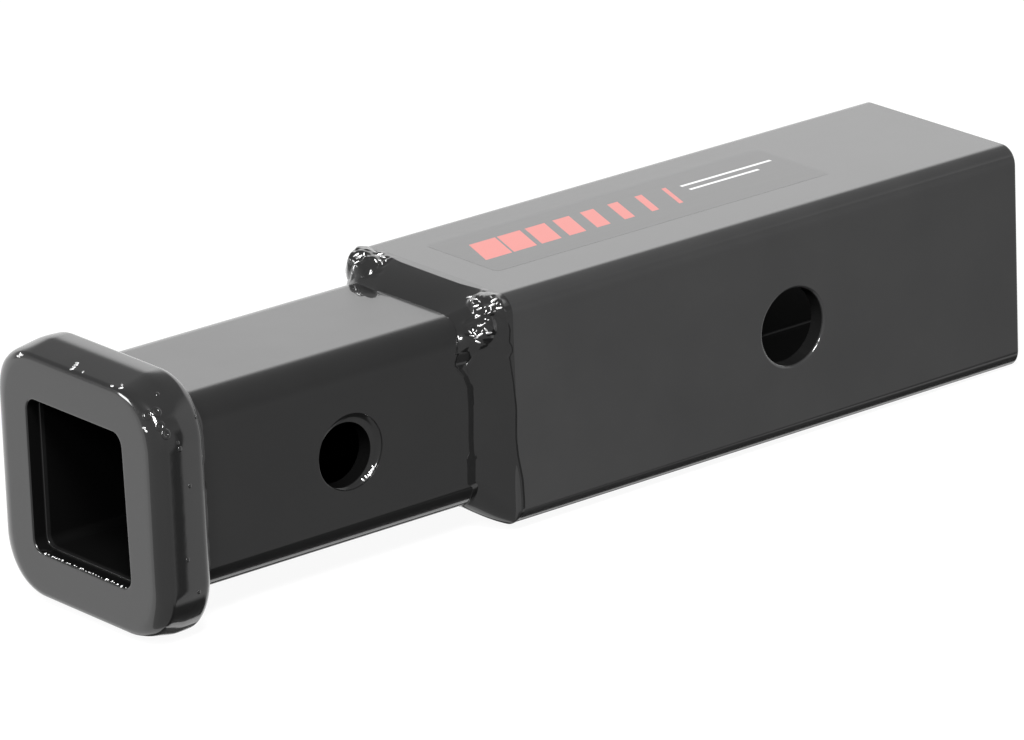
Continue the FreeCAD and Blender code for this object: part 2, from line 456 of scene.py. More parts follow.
shank_coat = black_coat("shank_coat", 0.0000012, 0.0, body=0.024, inside=SHANK_INSIDE)
receiver_coat = black_coat("receiver_coat", 0.0000012, 0.0, body=0.008, skin_index=1.5,
                           inside=RECEIVER_INSIDE)
collar_coat = black_coat("collar_coat", 0.000007, 0.0000003, skin_index=1.58, inside=COLLAR_INSIDE)
weld_coat = black_coat("weld_coat", 0.000002, 0.0000001)
print("coats:", shank_coat.name, receiver_coat.name, collar_coat.name, weld_coat.name)

# %% [markdown]
# The tubes, the collar and both welds share one rule: an outline is carried round a square with
# round corners. The tubes' walls, the collar's bar and the welds' beads only differ in that outline
# and in the two squares that it runs between. So one geometry tree makes them all. It lays a grid,
# reads where each point stands round the part and across the outline, and moves it to its place.
# The outline comes in as a small helper mesh whose points hold a place along the tube and a share
# of the way from the inner square, at 0, to the outer one, at 1. The tree's result is then kept as
# a plain mesh, because a cut and a weighted normal work on plain meshes.

# %% Geometry tree: an outline carried round a rounded square
RING_INPUTS = {
    "Outline": "NodeSocketObject",
    "Inner Side": "NodeSocketFloat",
    "Inner Corner": "NodeSocketFloat",
    "Outer Side": "NodeSocketFloat",
    "Outer Corner": "NodeSocketFloat",
    "Points Round": "NodeSocketInt",
    "Unevenness": "NodeSocketFloat",
    "Uneven Scale": "NodeSocketFloat",
    "Seed": "NodeSocketFloat",
    "Material": "NodeSocketMaterial",
}
CORNER_STEPS = 48
SAME_POINT = 0.0000005


def new_tree(name, inputs):
    """An empty geometry tree with named inputs. Returns the tree and its input sockets."""
    tree = bpy.data.node_groups.new(name, "GeometryNodeTree")
    tree.interface.new_socket("Geometry", in_out="OUTPUT", socket_type="NodeSocketGeometry")
    for label, kind in inputs.items():
        tree.interface.new_socket(label, in_out="INPUT", socket_type=kind)
    return tree, tree.nodes.new("NodeGroupInput").outputs


def finish_tree(tree, geometry, material):
    """Ends a tree: instances made real, smooth shading and the material."""
    real = add_node(tree, "GeometryNodeRealizeInstances", {0: geometry})
    smooth = add_node(tree, "GeometryNodeSetShadeSmooth", {0: real.outputs[0]})
    painted = add_node(tree, "GeometryNodeSetMaterial", {0: smooth.outputs[0], "Material": material})
    add_node(tree, "NodeGroupOutput", {0: painted.outputs[0]})


def square_point(tree, side, corner, around):
    """The point of a rounded square in the Y-Z plane at a share of the way round it."""
    square = add_node(tree, "GeometryNodeCurvePrimitiveQuadrilateral", {"Width": side, "Height": side})
    rounded = add_node(tree, "GeometryNodeFilletCurve", {"Curve": square.outputs[0], "Radius": corner,
                                                         "Count": CORNER_STEPS}, mode="POLY")
    upright = add_node(tree, "GeometryNodeTransform", {
        "Geometry": rounded.outputs[0], "Rotation": (math.pi / 2, 0, math.pi / 2)})
    length = add_node(tree, "GeometryNodeCurveLength", {0: upright.outputs[0]}).outputs[0]
    half_arc = times(tree, corner, math.pi / 4)
    shift = math_node(tree, "DIVIDE", half_arc, length)
    factor = math_node(tree, "FRACT", math_node(tree, "ADD", around, shift))
    sample = add_node(tree, "GeometryNodeSampleCurve", {0: upright.outputs[0], "Factor": factor},
                      mode="FACTOR", use_all_curves=True)
    return sample.outputs["Position"]


def make_ring_tree():
    """The tree that carries an outline round from an inner to an outer rounded square."""
    tree, given = new_tree("outline_round_square", RING_INPUTS)
    outline = add_node(tree, "GeometryNodeObjectInfo", {"Object": given["Outline"]}).outputs["Geometry"]
    count = add_node(tree, "GeometryNodeAttributeDomainSize", {0: outline}, component="MESH").outputs[0]
    grid = add_node(tree, "GeometryNodeMeshGrid", {
        "Size X": 1.0, "Size Y": 1.0,
        "Vertices X": math_node(tree, "ADD", given["Points Round"], 1.0),
        "Vertices Y": math_node(tree, "ADD", count, 1.0)})
    place = add_node(tree, "GeometryNodeInputPosition").outputs[0]
    grid_x, grid_y, _ = axes(tree, place)
    around = math_node(tree, "ADD", grid_x, 0.5)
    across = times(tree, math_node(tree, "ADD", grid_y, 0.5), count)
    number = math_node(tree, "FLOORED_MODULO", math_node(tree, "ROUND", across), count)
    hold = add_node(tree, "GeometryNodeCaptureAttribute", {0: grid.outputs["Mesh"]})
    hold.capture_items.new("FLOAT", "around")
    hold.capture_items.new("FLOAT", "number")
    tree.links.new(around, hold.inputs[1])
    tree.links.new(number, hold.inputs[2])
    point = add_node(tree, "GeometryNodeSampleIndex", {
        0: outline, "Value": place, "Index": hold.outputs[2]}, data_type="FLOAT_VECTOR")
    along, share, _ = axes(tree, point.outputs[0])
    inner = square_point(tree, given["Inner Side"], given["Inner Corner"], hold.outputs[1])
    outer = square_point(tree, given["Outer Side"], given["Outer Corner"], hold.outputs[1])
    between = add_node(tree, "ShaderNodeMix", {0: share, 4: inner, 5: outer}, data_type="VECTOR",
                       clamp_factor=False)
    offset = add_node(tree, "ShaderNodeCombineXYZ", {0: along})
    target = add_node(tree, "ShaderNodeVectorMath", {0: between.outputs[1], 1: offset.outputs[0]},
                      operation="ADD")
    moved = add_node(tree, "GeometryNodeSetPosition", {0: hold.outputs[0], "Position": target.outputs[0]})
    joined = add_node(tree, "GeometryNodeMergeByDistance", {0: moved.outputs[0], "Distance": SAME_POINT})
    noise = add_node(tree, "ShaderNodeTexNoise", {"Scale": given["Uneven Scale"], "W": given["Seed"],
                                                  "Detail": 1.0}, noise_dimensions="4D")
    height = times(tree, math_node(tree, "SUBTRACT", noise.outputs[0], 0.5), given["Unevenness"])
    normal = add_node(tree, "GeometryNodeInputNormal").outputs[0]
    push = add_node(tree, "ShaderNodeVectorMath", {0: normal, "Scale": height}, operation="SCALE")
    uneven = add_node(tree, "GeometryNodeSetPosition", {0: joined.outputs[0], "Offset": push.outputs[0]})
    finish_tree(tree, uneven.outputs[0], given["Material"])
    return tree


ring_tree = make_ring_tree()
print("tree:", ring_tree.name, "with", len(ring_tree.nodes), "nodes")

# %% Running a tree and keeping its mesh
def set_inputs(modifier, tree, values):
    """Sets a modifier's named inputs by the identifier of each socket."""
    for item in tree.interface.items_tree:
        if item.item_type == "SOCKET" and item.in_out == "INPUT" and item.name in values:
            modifier[item.identifier] = values[item.name]


def grown(name, tree, values):
    """Runs a geometry tree and returns its result as an object with a plain mesh."""
    holder = new_object(name, bpy.data.meshes.new(name))
    modifier = holder.modifiers.new("tree", "NODES")
    modifier.node_group = tree
    set_inputs(modifier, tree, values)
    return applied(holder)


def applied(piece):
    """Turns what a piece's modifiers make into its own plain mesh."""
    bpy.context.view_layer.update()
    graph = bpy.context.evaluated_depsgraph_get()
    mesh = bpy.data.meshes.new_from_object(piece.evaluated_get(graph), depsgraph=graph)
    mesh.name = piece.name
    piece.modifiers.clear()
    piece.data = mesh
    coat_all(piece)
    return piece


def coat_all(piece):
    """Gives every face the piece's one coat, also the faces that a cut has made."""
    coats = [material for material in piece.data.materials if material]
    piece.data.materials.clear()
    for material in coats[:1]:
        piece.data.materials.append(material)
    piece.data.polygons.foreach_set("material_index", [0] * len(piece.data.polygons))


def outline_mesh(name, points):
    """A helper mesh whose points hold an outline: place along the tube, share outward."""
    return new_object(name, new_mesh(name, [(x, share, 0) for x, share in points]))


def make_ring(name, points, inner, outer, count, material, uneven=0.0, scale=60.0, seed=0.0):
    """A closed piece: the outline's points carried round. inner and outer are (half side, corner)."""
    helper = outline_mesh(name + "_outline", points)
    piece = grown(name, ring_tree, {
        "Outline": helper,
        "Inner Side": 2 * inner[0], "Inner Corner": inner[1],
        "Outer Side": 2 * outer[0], "Outer Corner": outer[1],
        "Points Round": count, "Unevenness": uneven, "Uneven Scale": scale, "Seed": seed,
        "Material": material,
    })
    bpy.data.objects.remove(helper)
    face_outward(piece)
    return piece


def face_outward(piece):
    """Turns every face of a closed mesh to point out of it."""
    work = bmesh.new()
    work.from_mesh(piece.data)
    bmesh.ops.recalc_face_normals(work, faces=work.faces)
    work.to_mesh(piece.data)
    work.free()


print("tree helpers: grown, applied, coat_all, outline_mesh, make_ring, face_outward")

# %% [markdown]
# An outline's round edges are arcs. The share outward is a length divided by the distance between
# the two squares, so an arc in real sizes is made first, and its heights are then divided.

# %% Outline helpers
ARC_STEPS = 14


def arc(centre, radius, start, end, steps=ARC_STEPS):
    """Points of an arc between two angles in degrees, ends included."""
    turns = np.radians(np.linspace(start, end, steps + 1))
    return [(centre[0] + radius * math.cos(turn), centre[1] + radius * math.sin(turn)) for turn in turns]


def run(start, end, steps):
    """Evenly spaced points from start towards end, without the end itself."""
    return [(start[0] + (end[0] - start[0]) * k / steps, start[1] + (end[1] - start[1]) * k / steps)
            for k in range(steps)]


def as_shares(points, span):
    """Turns heights above the inner square into shares of the way to the outer one."""
    return [(x, height / span) for x, height in points]


print("points of a quarter round:", len(arc((0, 0), 1, 0, 90)))

# %% [markdown]
# The shank is a plain square tube with tight corners, open at both ends, and so is the receiver
# tube, with rounder corners. Their end edges are slightly rounded by the coat. The pin holes are
# cut by a turned body that flares where it leaves the steel, which gives each hole a soft rim in
# one cut. After a cut the flat sides have to stay flat in the mirror, so a Weighted Normal
# modifier lets the largest face at each point decide.

# %% Tubes
SHANK_CORNER = 4.0 * MM
SHANK_WALL = 4.1 * MM
SHANK_BORE_CORNER = 0.4 * MM
RECEIVER_CORNER = 7.0 * MM
RECEIVER_WALL = 4.8 * MM
END_ROUND = 0.7 * MM
TUBE_POINTS = 560


def tube_outline(start, end, wall, rounding):
    """The wall of a tube cut lengthwise: a long thin rectangle with round ends."""
    low = rounding
    high = wall - rounding
    points = arc((end - rounding, high), rounding, 90, 0, 6)
    points += arc((end - rounding, low), rounding, 0, -90, 6)
    points += arc((start + rounding, low), rounding, -90, -180, 6)
    points += arc((start + rounding, high), rounding, 180, 90, 6)
    return as_shares(points, wall)


def lathe(name, profile, centre, steps=128):
    """A closed body turned about an axis along Y through centre. profile holds (y, radius)."""
    points = []
    for y, radius in profile:
        for k in range(steps):
            turn = 2 * math.pi * k / steps
            points.append((centre[0] + radius * math.cos(turn), y, centre[1] + radius * math.sin(turn)))
    faces = []
    for row in range(len(profile) - 1):
        for k in range(steps):
            after = (k + 1) % steps
            faces.append((row * steps + k, row * steps + after,
                          (row + 1) * steps + after, (row + 1) * steps + k))
    last = (len(profile) - 1) * steps
    faces.append(tuple(range(steps)))
    faces.append(tuple(last + k for k in reversed(range(steps))))
    mesh = bpy.data.meshes.new(name)
    mesh.from_pydata(points, [], faces)
    body = bpy.data.objects.new(name, mesh)
    bpy.context.scene.collection.objects.link(body)
    face_outward(body)
    for polygon in mesh.polygons:
        polygon.use_smooth = True
    return body


def flare(surface, radius, rounding, outward):
    """Profile points of a rim that opens into a flat surface at y = surface."""
    points = []
    for step in range(9):
        turn = math.radians(80 * step / 8)
        depth = rounding * (1 - math.sin(turn))
        points.append((surface - outward * depth, radius + rounding * (1 - math.cos(turn))))
    last_y, last_radius = points[-1]
    points.append((last_y + outward * 0.3 * MM, last_radius + 0.3 * MM * math.tan(math.radians(80))))
    return points


def pin_cutter(name, x, radius, half, rounding):
    """A cutter for one pin hole through both sides of a tube."""
    near = flare(-half, radius, rounding, -1)
    far = flare(half, radius, rounding, 1)
    return lathe(name, list(reversed(near)) + far, (x, 0))


def cut_away(piece, cutters):
    """Cuts bodies out of a piece, then keeps its flat sides flat in shading."""
    for cutter in cutters:
        step = piece.modifiers.new("cut", "BOOLEAN")
        step.operation = "DIFFERENCE"
        step.solver = "EXACT"
        step.object = cutter
    applied(piece)
    for cutter in cutters:
        bpy.data.objects.remove(cutter)
    return even_shading(piece)


def even_shading(piece, sharp_angle=40.0):
    """Marks sharp edges and lets the largest face decide the shading at each point."""
    piece.data.set_sharp_from_angle(angle=math.radians(sharp_angle))
    step = piece.modifiers.new("weigh", "WEIGHTED_NORMAL")
    step.keep_sharp = True
    step.weight = 80
    return applied(piece)


shank = make_ring("shank_skin", tube_outline(FRONT_X, END_X, SHANK_WALL, END_ROUND),
                  (SHANK_HALF - SHANK_WALL, SHANK_BORE_CORNER), (SHANK_HALF, SHANK_CORNER),
                  TUBE_POINTS, shank_coat)
cut_away(shank, [pin_cutter("shank_pin", 0.0, 8.6 * MM, SHANK_HALF, 0.7 * MM)])
print("shank points:", len(shank.data.vertices))

# %% Receiver tube with its dished pin hole
PIN_X = MOUTH_X + 52.9 * MM
DISH_SHIFT = (1.1 * MM, 0.6 * MM)
DISH_RADIUS = 8.3 * MM
DISH_DEPTH = 1.0 * MM


def dish_cutter():
    """A shallow punched dish, off the hole's centre, in the near side."""
    side = -RECEIVER_HALF
    profile = [(side - 2 * MM, DISH_RADIUS + 1.2 * MM), (side, DISH_RADIUS)]
    for step in range(1, 9):
        turn = math.radians(90 * step / 8)
        profile.append((side + DISH_DEPTH * math.sin(turn), DISH_RADIUS - 1.6 * MM * (1 - math.cos(turn))))
    return lathe("dish", profile, (PIN_X + DISH_SHIFT[0], DISH_SHIFT[1]))


receiver = make_ring("receiver_skin", tube_outline(receiver_low.x, receiver_high.x, RECEIVER_WALL, 0.2 * MM),
                     (RECEIVER_HALF - RECEIVER_WALL, RECEIVER_CORNER - RECEIVER_WALL),
                     (RECEIVER_HALF, RECEIVER_CORNER), TUBE_POINTS, receiver_coat)
cut_away(receiver, [pin_cutter("receiver_pin", PIN_X, 7.0 * MM, RECEIVER_HALF, 0.3 * MM), dish_cutter()])
print("receiver points:", len(receiver.data.vertices))

# %% [markdown]
# The collar is a bar with round edges, bent into a square ring round the mouth. Its outline is the
# bar's section: a flat front, a large round to the outside, a long side that leans back by a few
# degrees, a small round to the rear, and inside it a step that the tube's end sits against. The
# outside is written as a list of directions and added up, because a mirror shows the direction of a
# surface and not its place: a side that leans back by four degrees already mirrors the dark gap.
# The top and bottom of the ring have directions of their own and climb to a ridge near the rear,
# and the opening's near side leans inwards at its top.

# %% Collar
COLLAR_CORNER = 12.9 * MM
OPENING_HALF = 16.7 * MM
OPENING_CORNER = 2.8 * MM
LIP_DEPTH = 3.1 * MM
LIP_ROUND = 0.35 * MM
SEAT_HALF = RECEIVER_HALF + 0.1 * MM
BAR_TURNS = ((0.0, -90), (0.15, -86), (2.2, -70), (4.0, -50), (5.3, 0), (5.7, 3.4), (9.1, 5.2), (9.9, 6.4),
             (13.9, 8.0))
TOP_TURNS = ((0.0, -90), (0.1, -84), (0.9, -60), (1.8, -15), (7.4, -13), (8.8, -4), (10.2, 0), (13.9, 5.0))
BAR_STEP = 0.1
OPENING_LEAN = 1.0
OPENING_FADE = 5.0


def bar_back(directions):
    """The bar's outside in mm, from the front plane to the rear round, by adding up its direction."""
    lengths, turns = zip(*directions)
    along = np.arange(0, lengths[-1], BAR_STEP)
    turn = np.radians(np.interp(along + BAR_STEP / 2, lengths, turns))
    x = np.concatenate([[0], np.cumsum(np.cos(turn) * BAR_STEP)])
    rise = np.concatenate([[0], np.cumsum(-np.sin(turn) * BAR_STEP)])
    return x, rise - rise.max()


def collar_outline():
    """The bar's section, from the opening's front edge round the outside and back."""
    span = COLLAR_HALF - OPENING_HALF
    seat = SEAT_HALF - OPENING_HALF
    x, drop = bar_back(BAR_TURNS)
    points = arc((MOUTH_X + LIP_ROUND, LIP_ROUND), LIP_ROUND, 270, 180, 5)
    points += run((MOUTH_X, LIP_ROUND * 2), (MOUTH_X, span + drop[0] * MM), 6)
    keep = list(range(0, 60, 2)) + list(range(60, len(x), 4))
    points += [(MOUTH_X + x[k] * MM, span + drop[k] * MM) for k in keep]
    first = BAR_TURNS[-1][1]
    last_x, last_height = points[-1]
    radius = (COLLAR_REAR_X - last_x) / (1 - math.sin(math.radians(first)))
    centre = (COLLAR_REAR_X - radius, last_height - radius * math.cos(math.radians(first)))
    points += arc(centre, radius, 90 - first, 0, 22)[1:]
    points += [(COLLAR_REAR_X, seat), (MOUTH_X + LIP_DEPTH, seat), (MOUTH_X + LIP_DEPTH, 0)]
    return as_shares(points, span)


collar = make_ring("collar_ring", collar_outline(), (OPENING_HALF, OPENING_CORNER),
                   (COLLAR_HALF, COLLAR_CORNER), 760, collar_coat)


def slope_legs(piece):
    """Gives the bar's top and bottom their own outline: it climbs to a ridge near the rear."""
    mesh = piece.data
    side_x, side_drop = bar_back(BAR_TURNS)
    top_x, top_drop = bar_back(TOP_TURNS)
    places = np.zeros(len(mesh.vertices) * 3)
    mesh.vertices.foreach_get("co", places)
    places = places.reshape(-1, 3) / MM
    depth = places[:, 0] - MOUTH_X / MM
    flat = (COLLAR_HALF - COLLAR_CORNER) / MM
    aside = np.maximum(np.abs(places[:, 1]) - flat, 0)
    height = np.abs(places[:, 2])
    above = np.maximum(height - flat, 0)
    upward = above / np.maximum(np.hypot(aside, above), 0.001)
    border = COLLAR_HALF / MM + side_drop[0]
    outward = np.clip((height - OPENING_HALF / MM) / (border - OPENING_HALF / MM), 0, 1)
    raised = np.interp(depth, top_x, top_drop) - np.interp(depth, side_x, side_drop)
    height = np.minimum(height + raised * outward * upward ** 1.5, COLLAR_HALF / MM)
    places[:, 2] = np.sign(places[:, 2]) * height
    mesh.vertices.foreach_set("co", (places * MM).ravel())
    mesh.update()
    print("front border raised by", round(float(raised[depth < 0.01].max()), 2), "mm")


def lean_opening(piece):
    """Leans the opening's near side inwards at its top, as the bent bar has it."""
    mesh = piece.data
    half = OPENING_HALF / MM
    places = np.zeros(len(mesh.vertices) * 3)
    mesh.vertices.foreach_get("co", places)
    places = places.reshape(-1, 3) / MM
    reach = np.maximum(np.abs(places[:, 1]), np.abs(places[:, 2]))
    fade = np.clip(1 - (reach - half) / OPENING_FADE, 0, 1)
    climb = np.clip((places[:, 2] + half) / (2 * half), 0, 1)
    near = np.clip(-places[:, 1] / half, 0, 1)
    in_lip = places[:, 0] - MOUTH_X / MM <= LIP_DEPTH / MM + 0.01
    places[:, 1] += OPENING_LEAN * climb * near * fade * in_lip
    mesh.vertices.foreach_set("co", (places * MM).ravel())
    mesh.update()


slope_legs(collar)
lean_opening(collar)
even_shading(collar)
print("collar points:", len(collar.data.vertices))

# %% [markdown]
# The joint weld fills the step between the two tubes, and it is the part's roughest and shiniest
# piece. Its two seam lines wander: the toe on the receiver tube and the edge on the shank. So both
# are written down as lists of stations. A station runs from 0 to 8 round a rounded square: an even
# number starts a corner, an odd one starts the flat side after it. Between the lines the bead is
# ruled from one tube to the other, like a sloping skirt with a slight crown.

# %% Joint weld: its seam lines
TOE_LINE = (
    (0.0, 86.0), (0.6, 85.6), (1.0, 85.0), (1.2, 84.6), (1.3, 85.2), (1.9, 85.3), (2.07, 84.9), (2.3, 84.8),
    (2.5, 84.4), (2.74, 83.5), (2.93, 83.1), (2.96, 85.6), (3.05, 86.4), (3.07, 85.0),
    (3.10, 84.1), (3.17, 85.6), (3.27, 86.6), (3.45, 86.7),
    (3.65, 86.4), (3.76, 86.4), (3.83, 86.9), (3.93, 86.7), (4.0, 86.6), (4.14, 87.0),
    (4.47, 87.0), (4.8, 86.2), (5.3, 86.6), (5.8, 86.0), (6.4, 86.5), (7.0, 86.1), (7.5, 86.6), (8.0, 86.0),
)
EDGE_LINE = (
    (0.0, 93.6), (0.6, 93.4), (1.0, 93.4), (1.17, 92.9), (1.29, 92.2), (1.6, 92.1), (1.76, 92.1), (1.89, 92.9),
    (2.0, 92.7), (2.35, 92.4), (2.7, 92.2), (3.0, 92.3), (3.07, 93.0), (3.13, 92.7), (3.16, 93.4), (3.185, 93.4),
    (3.205, 92.6), (3.24, 92.8), (3.35, 93.4), (3.48, 93.8), (3.63, 93.5), (3.72, 93.8), (3.85, 94.8), (3.96, 95.0),
    (4.22, 94.5), (4.6, 93.8), (5.2, 93.4), (5.8, 93.8), (6.5, 93.5), (7.2, 93.8), (8.0, 93.6),
)
TUBE_SQUARE = (RECEIVER_HALF / MM, RECEIVER_CORNER / MM)
SHANK_SQUARE = (SHANK_HALF / MM, SHANK_CORNER / MM)
STEP_RISE = SHANK_SQUARE[0] - TUBE_SQUARE[0]
MOUTH_MM = MOUTH_X / MM


def along_line(line, station):
    """A seam line's place in mm behind the mouth, at stations from 0 to 8."""
    stations, places = zip(*line)
    return np.interp(station % 8, stations, places)


def round_square(square, station):
    """Points of a rounded square in Y-Z and their outward directions, for stations from 0 to 8."""
    half, corner = square
    flat = half - corner
    quarter = np.floor(station / 2) % 4
    part = station % 2
    turn = np.radians(90 * (quarter + np.minimum(part, 1)))
    centre = flat * np.stack([np.where((quarter == 0) | (quarter == 3), 1, -1),
                              np.where((quarter == 0) | (quarter == 1), 1, -1)], axis=-1)
    out = np.stack([np.cos(turn), np.sin(turn)], axis=-1)
    onward = np.stack([-np.sin(turn), np.cos(turn)], axis=-1)
    slide = 2 * flat * np.maximum(part - 1, 0)
    return centre + corner * out + slide[..., None] * onward, out


def stations_round(side_steps, corner_steps):
    """Stations for one turn, with more points at the corners."""
    rows = []
    for quarter in range(4):
        rows.append(2 * quarter + np.arange(corner_steps) / corner_steps)
        rows.append(2 * quarter + 1 + np.arange(side_steps) / side_steps)
    return np.concatenate(rows)


stations = stations_round(130, 76)
print("stations round the weld:", len(stations))

# %% [markdown]
# Where the bead's edge lies on a tube it is a thin lip that slopes away from it. On the near side
# these two narrow slopes mirror the dark gap of the studio, which is what draws the two dark lines
# there. The lip's strength therefore changes round the tube: full on the sides, faint on the top.

# %% Joint weld: the section across the bead
TOE_LIP = ((0, 0.4), (0.9, 0.1), (1.1, 0.0), (2.3, 0.0), (2.9, 0.4), (3.05, 1.0), (4.3, 1.0),
           (4.9, 0.5), (7.0, 0.5), (8, 0.4))
TOE_WIDTH = ((0, 1.5), (2.92, 1.5), (2.96, 3.8), (3.05, 4.2), (3.09, 1.6), (3.76, 1.5),
             (3.81, 2.6), (4.0, 2.4), (4.1, 1.5), (8, 1.5))
EDGE_LIP = ((0, 0.3), (1.0, 0.0), (2.2, 0.0), (2.7, 0.8), (3.0, 1.0), (4.3, 1.0), (4.8, 0.4),
            (7.5, 0.4), (8, 0.3))
CROWN = 0.42
SLOPE_STEPS = 44


def calmed(places, reach=45):
    """A seam line without its jogs: a moving average round the part."""
    window = np.hanning(2 * reach + 1)
    padded = np.concatenate([places[-reach:], places, places[:reach]])
    return np.convolve(padded, window / window.sum(), "valid")


def weld_section(station):
    """X and height above the receiver tube, in mm, across the bead at each station."""
    toe = along_line(TOE_LINE, station)
    edge = along_line(EDGE_LINE, station)
    calm_toe = calmed(toe)
    calm_edge = calmed(edge)
    toe_lip = along_line(TOE_LIP, station)
    edge_lip = along_line(EDGE_LIP, station)
    width = along_line(TOE_WIDTH, station) * toe_lip
    end = np.maximum(edge + 0.8, FRONT_X / MM - MOUTH_MM + 0.9)
    columns = [(toe + 0.6, 0 * toe - 0.5), (toe - width - 0.1, 0 * toe - 0.2)]
    for share in np.linspace(0, 1, 7):
        columns.append((toe - width * (1 - share), 0.01 + 0.053 * width * (1 - share)))
    for share in np.linspace(0, 1, SLOPE_STEPS + 1)[1:]:
        height = (STEP_RISE + 0.042 * edge_lip) * share + CROWN * 4 * share * (1 - share)
        local = (toe - calm_toe) * math.exp(-share / 0.07) + (edge - calm_edge) * math.exp((share - 1) / 0.07)
        columns.append((calm_toe + (calm_edge - calm_toe) * share + local, height))
    for share in np.linspace(0, 1, 6)[1:]:
        columns.append((edge + 0.8 * share, STEP_RISE + 0.042 * edge_lip * (1 - share) + 0.02))
    columns.append((end, STEP_RISE + 0.02 + 0 * toe))
    columns.append((end + 0.1, STEP_RISE - 0.5 + 0 * toe))
    columns.append((end - 2.5, STEP_RISE - 2.2 + 0 * toe))
    x = np.stack([column[0] for column in columns], axis=-1)
    height = np.stack([column[1] for column in columns], axis=-1)
    return x, height


def weld_points(station):
    """The bead's points in mm, and the direction straight out of its slope at each of them."""
    x, height = weld_section(station)
    inner, out = round_square(TUBE_SQUARE, station)
    outer, out = round_square(SHANK_SQUARE, station)
    share = (height / STEP_RISE)[..., None]
    across = inner[:, None, :] + (outer - inner)[:, None, :] * share
    points = np.concatenate([(x + MOUTH_MM)[..., None], across], axis=-1)
    lean = math.atan2(STEP_RISE, 7.6)
    slant = np.concatenate([np.full(x.shape + (1,), -math.sin(lean)),
                            np.broadcast_to(out[:, None, :] * math.cos(lean), across.shape)], axis=-1)
    return points, slant, x, height


points, slant, weld_x, weld_height = weld_points(stations)
print("points across the weld:", points.shape[1])

# %% [markdown]
# The lumps are where the weld passes start and stop. Each is a swelling with a steep rim, given by
# the station and share across where it is centred, its two half sizes and its height. Smaller
# ripples ride on them. Sculpting like this moves every point along the bead's own direction, so
# the closed skin stays closed.

# %% Joint weld: lumps and ripples
SLOPE_FIRST = 9
LUMPS = (
    (0.92, 0.56, 6.0, 4.2, 0, 1.7, 0.45),
    (2.18, 0.72, 4.4, 3.0, -15, 0.95, 0.8),
    (2.86, 0.42, 3.9, 3.1, 20, 0.95, 0.8),
)
RIPPLES = (
    (2.06, 0.60, 2.9, 0.75, -32, 0.34), (2.07, 0.74, 1.9, 0.6, -12, 0.26), (2.30, 0.83, 0.8, 0.6, 0, 0.3),
    (2.27, 0.94, 0.7, 0.5, 0, 0.25), (2.52, 0.92, 0.8, 0.6, 0, 0.28), (2.57, 0.74, 0.9, 0.7, 0, 0.32),
    (2.57, 0.61, 0.7, 0.5, 0, 0.22), (2.70, 0.95, 1.1, 0.4, 40, 0.2), (2.84, 0.80, 1.5, 1.1, 0, -0.4),
    (2.52, 0.36, 3.6, 0.8, 75, -0.42), (2.76, 0.26, 1.4, 0.8, 60, 0.36), (2.95, 0.52, 1.3, 0.6, 0, 0.32),
    (3.00, 0.42, 2.4, 0.45, 60, 0.32), (3.03, 0.34, 1.5, 0.6, 40, 0.3), (3.00, 0.65, 0.8, 0.6, 0, 0.3),
    (3.05, 0.66, 1.4, 0.7, 30, -0.25),
    (0.78, 0.60, 0.9, 0.7, 0, 0.3), (0.98, 0.61, 0.8, 0.6, 0, 0.3), (0.76, 0.48, 0.9, 0.8, 30, 0.3),
    (1.04, 0.86, 0.8, 0.7, 0, 0.28), (1.09, 0.92, 1.2, 0.5, 60, 0.28), (1.13, 0.76, 1.0, 0.9, 0, 0.36),
    (1.10, 0.66, 1.4, 0.5, 80, 0.3), (1.15, 0.90, 0.8, 0.6, 0, 0.28), (1.18, 0.78, 1.6, 0.5, 75, 0.26),
    (0.60, 0.30, 1.8, 1.0, 40, 0.3), (0.70, 0.14, 0.9, 0.6, 0, 0.26), (1.02, 0.50, 2.2, 1.2, 0, -0.3),
)
GRAIN_SEED = 11
GRAINS = ((0.62, 1.2, 0.3, 1.0, 84, 1.6), (2.0, 2.66, 0.5, 1.0, 34, 1.25), (2.6, 3.04, 0.25, 0.66, 26, 1.15))


def surface_offsets(here, spot):
    """Each point's place in the tangent plane of one spot: onward round the tube, and up the slope."""
    row, column = spot
    centre = here[row, column]
    onward = here[(row + 1) % len(here), column] - here[row - 1, column]
    onward /= np.linalg.norm(onward)
    upward = here[row, column + 1] - here[row, column - 1]
    upward /= np.linalg.norm(upward)
    away = here - centre
    distance = np.linalg.norm(away, axis=-1)
    return away @ onward, away @ upward, distance


def nearest_spot(station, share):
    """The grid row and column of a station and a share across the slope."""
    row = int(np.argmin(np.abs(stations - station)))
    return row, SLOPE_FIRST + int(round(share * SLOPE_STEPS)) - 1


def turned(onward, upward, degrees):
    """The two offsets turned in the tangent plane."""
    turn = math.radians(degrees)
    return (onward * math.cos(turn) + upward * math.sin(turn),
            upward * math.cos(turn) - onward * math.sin(turn))


def round_distance(row):
    """How far each station is from one row, measured round the middle of the slope, in mm."""
    middle = points[:, SLOPE_FIRST + SLOPE_STEPS // 2]
    steps = np.linalg.norm(np.roll(middle, -1, axis=0) - middle, axis=-1)
    length = np.concatenate([[0], np.cumsum(steps)])
    around = length[:-1] - length[row]
    return (around + length[-1] / 2) % length[-1] - length[-1] / 2


def swell(lift, lump):
    """Adds one lump with a steep rim."""
    station, share, half_round, half_across, degrees, height, rim = lump
    row, column = nearest_spot(station, share)
    across = np.hypot(weld_x - weld_x[:, column:column + 1], weld_height - weld_height[:, column:column + 1])
    across *= np.sign(weld_x - weld_x[:, column:column + 1])
    around, up = turned(round_distance(row)[:, None], across, degrees)
    reach = 1 - (around / half_round) ** 2 - (up / half_across) ** 2
    return np.maximum(lift, height * np.maximum(reach, 0) ** rim)


